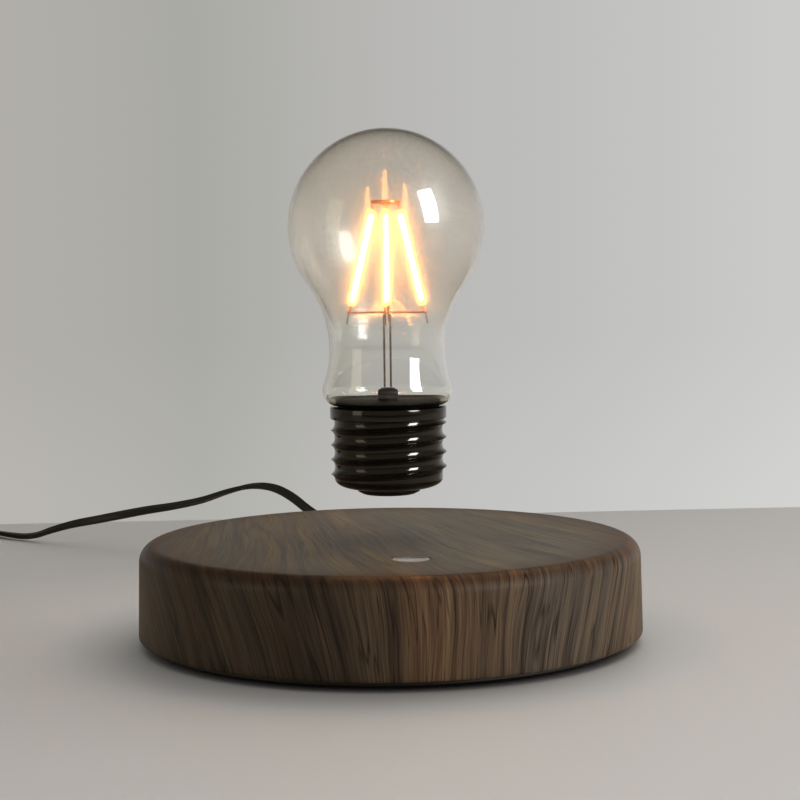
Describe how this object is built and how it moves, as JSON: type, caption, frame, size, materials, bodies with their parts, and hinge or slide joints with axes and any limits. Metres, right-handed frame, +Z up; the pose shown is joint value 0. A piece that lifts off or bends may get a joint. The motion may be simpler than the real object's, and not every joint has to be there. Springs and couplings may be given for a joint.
{
  "type": "levitating lamp",
  "caption": "Table lamp whose clear filament bulb floats upright above a round walnut base, with a touch disc and a low-voltage lead.",
  "frame": {"origin": "on the table, under the middle of the base", "axes": "+Z up through the middle of the base and the bulb, -Y towards the touch disc at the front, +Y towards the power socket at the back"},
  "size_m": [0.3139, 0.3894, 0.1702],
  "materials": {
    "walnut_film": "satin",
    "black_plastic": "matte",
    "gloss_black_plastic": "gloss",
    "black_rubber": "matte",
    "brushed_metal": "satin",
    "steel": "satin",
    "copper": "satin",
    "ferrite": "matte",
    "magnet_plating": "satin",
    "circuit_board": "satin",
    "clear_glass": "polished",
    "glowing_filament": "matte",
    "lead_sheath": "satin",
    "dark_wire": "satin"
  },
  "bodies": {
    "base": {"wood_shell": "walnut_film", "bottom_plate": "black_plastic", "rubber_foot_1": "black_rubber", "rubber_foot_2": "black_rubber", "rubber_foot_3": "black_rubber", "rubber_foot_4": "black_rubber", "shell_screw_1": "steel", "shell_screw_2": "steel", "shell_screw_3": "steel", "shell_screw_4": "steel", "module_screw_1": "steel", "module_screw_2": "steel", "module_screw_3": "steel", "module_plate": "black_plastic", "ring_magnet": "ferrite", "lift_coil_1": "copper", "lift_coil_2": "copper", "lift_coil_3": "copper", "lift_coil_4": "copper", "coil_core_1": "steel", "coil_core_2": "steel", "coil_core_3": "steel", "coil_core_4": "steel", "hall_sensor_board": "circuit_board", "transmitter_coil": "copper", "touch_disc": "brushed_metal", "contact_spring": "copper", "touch_sensor_board": "circuit_board", "control_board": "circuit_board", "capacitor": "black_plastic", "driver_chip": "black_plastic", "power_socket": "black_plastic", "socket_pin": "brushed_metal", "plug_barrel": "brushed_metal", "plug_body": "black_plastic", "plug_boot": "black_plastic", "cord_lead": "lead_sheath", "cord_coil": "lead_sheath", "cord_tie": "black_plastic", "adaptor_boot": "black_plastic", "adaptor_body": "black_plastic", "adaptor_pin_1": "brushed_metal", "adaptor_pin_2": "brushed_metal"},
    "float": {"lift_magnet": "magnet_plating"},
    "bulb": {"threaded_cap": "gloss_black_plastic", "end_button": "gloss_black_plastic", "receiver_coil": "copper", "receiver_board": "circuit_board", "neck_disc": "black_plastic", "filament_stem": "gloss_black_plastic", "glass_envelope": "clear_glass", "support_wire_left": "dark_wire", "support_wire_right": "dark_wire", "cross_wire_left": "copper", "cross_wire_right": "copper", "filament_right": "glowing_filament", "filament_back": "glowing_filament", "filament_left": "glowing_filament", "filament_front": "glowing_filament", "filament_ring": "copper"}
  },
  "joints": [
    {"name": "bulb_float", "type": "slide", "parent": "base", "child": "float", "axis": [0, 0, 1], "range_m": [-0.0145, 0.08], "stiffness_N_per_m": 60, "springref_m": 0.01755},
    {"name": "bulb_spin", "type": "hinge", "parent": "float", "child": "bulb", "pos_m": [0, 0, 0.06], "axis": [0, 0, 1], "continuous": true}
  ]
}
